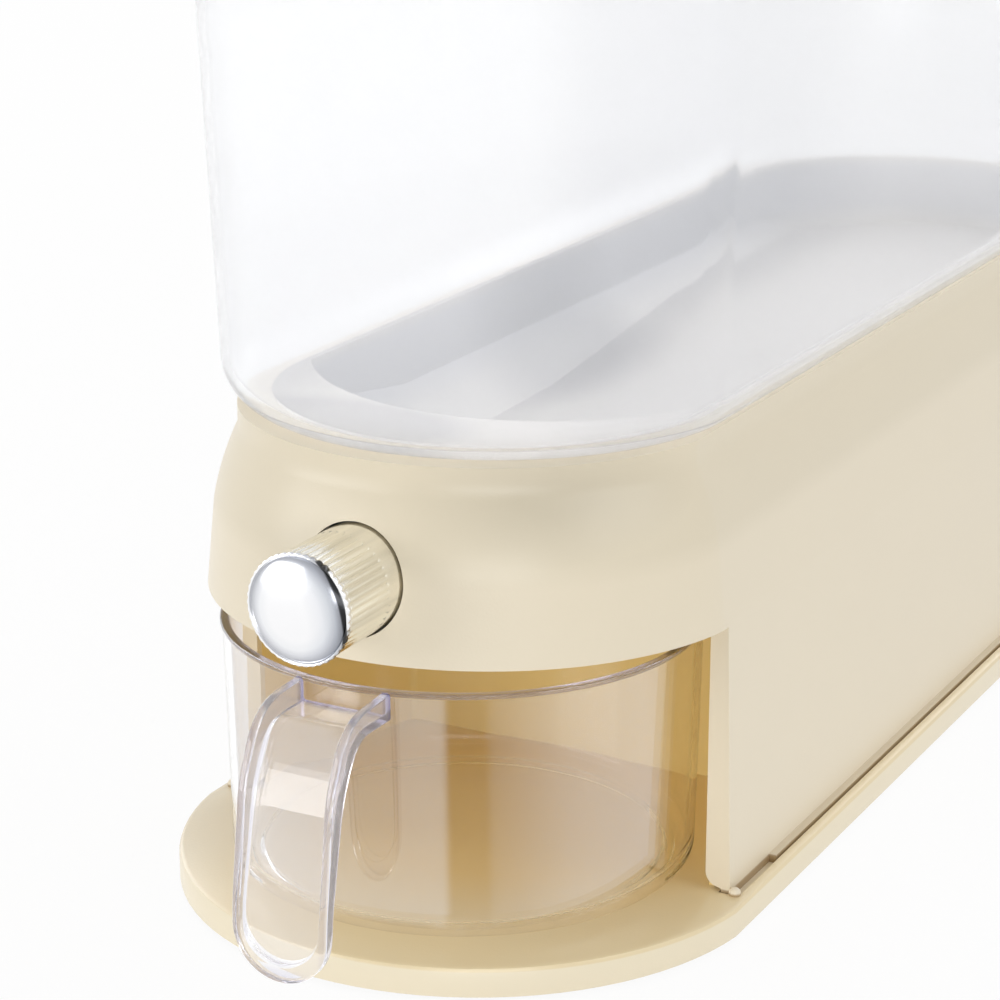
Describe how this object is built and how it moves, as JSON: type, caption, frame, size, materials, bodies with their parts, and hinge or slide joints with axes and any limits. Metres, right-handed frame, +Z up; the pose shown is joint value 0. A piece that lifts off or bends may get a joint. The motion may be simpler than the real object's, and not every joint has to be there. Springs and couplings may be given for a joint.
{
  "type": "grain dispenser",
  "caption": "Countertop grain dispenser: long translucent hopper on a housing with a push-button gate, a clear measuring cup with a handle in the bay under it, and a hinged half lid.",
  "frame": {"origin": "middle of the bounding box's footprint, on the surface that it stands on", "axes": "+Z up, the front with the button and the cup faces -Y, +Y along the hopper, +X to the right seen from the front"},
  "size_m": [0.16, 0.491, 0.325],
  "materials": {
    "cream_plastic": "satin",
    "liner_plastic": "satin",
    "hopper_plastic": "translucent, slightly frosted",
    "clear_plastic": "clear, polished",
    "gate_plastic": "satin",
    "chrome_cap": "polished",
    "chrome_barrel": "polished, fluted",
    "steel": "plain",
    "soft_rubber": "matte",
    "foot_rubber": "matte"
  },
  "bodies": {
    "stand": {"base_plate": "cream_plastic", "rubber_feet": "foot_rubber", "base_screws": "steel", "housing": "cream_plastic", "bay_liner": "liner_plastic", "chute": "gate_plastic", "gate_frame": "gate_plastic", "gate_screws": "steel", "outlet_seal": "soft_rubber", "button_guide": "gate_plastic", "guide_screws": "steel", "return_spring": "steel"},
    "button": {"button_barrel": "chrome_barrel", "button_cap": "chrome_cap", "push_stem": "steel", "stem_clip": "steel", "shutter": "gate_plastic"},
    "cup": {"measuring_cup": "clear_plastic"},
    "hopper_bin": {"hopper": "hopper_plastic", "lid_frame": "cream_plastic", "hinge_pin": "steel"},
    "lid": {"lid_flap": "cream_plastic", "lid_gasket": "soft_rubber"}
  },
  "joints": [
    {"name": "button_press", "type": "slide", "parent": "stand", "child": "button", "axis": [0, 1, 0], "range_m": [0, 0.016], "stiffness_N_per_m": 300, "springref_m": -0.01, "deforming": ["return_spring"]},
    {"name": "cup_pull", "type": "slide", "parent": "stand", "child": "cup", "axis": [0, -1, 0], "range_m": [0, 0.17]},
    {"name": "hopper_lift", "type": "slide", "parent": "stand", "child": "hopper_bin", "axis": [0, 0, 1], "range_m": [0, 0.06]},
    {"name": "lid_hinge", "type": "hinge", "parent": "hopper_bin", "child": "lid", "pos_m": [0, 0.0435, 0.321], "axis": [-1, 0, 0], "range_deg": [0, 100]}
  ]
}
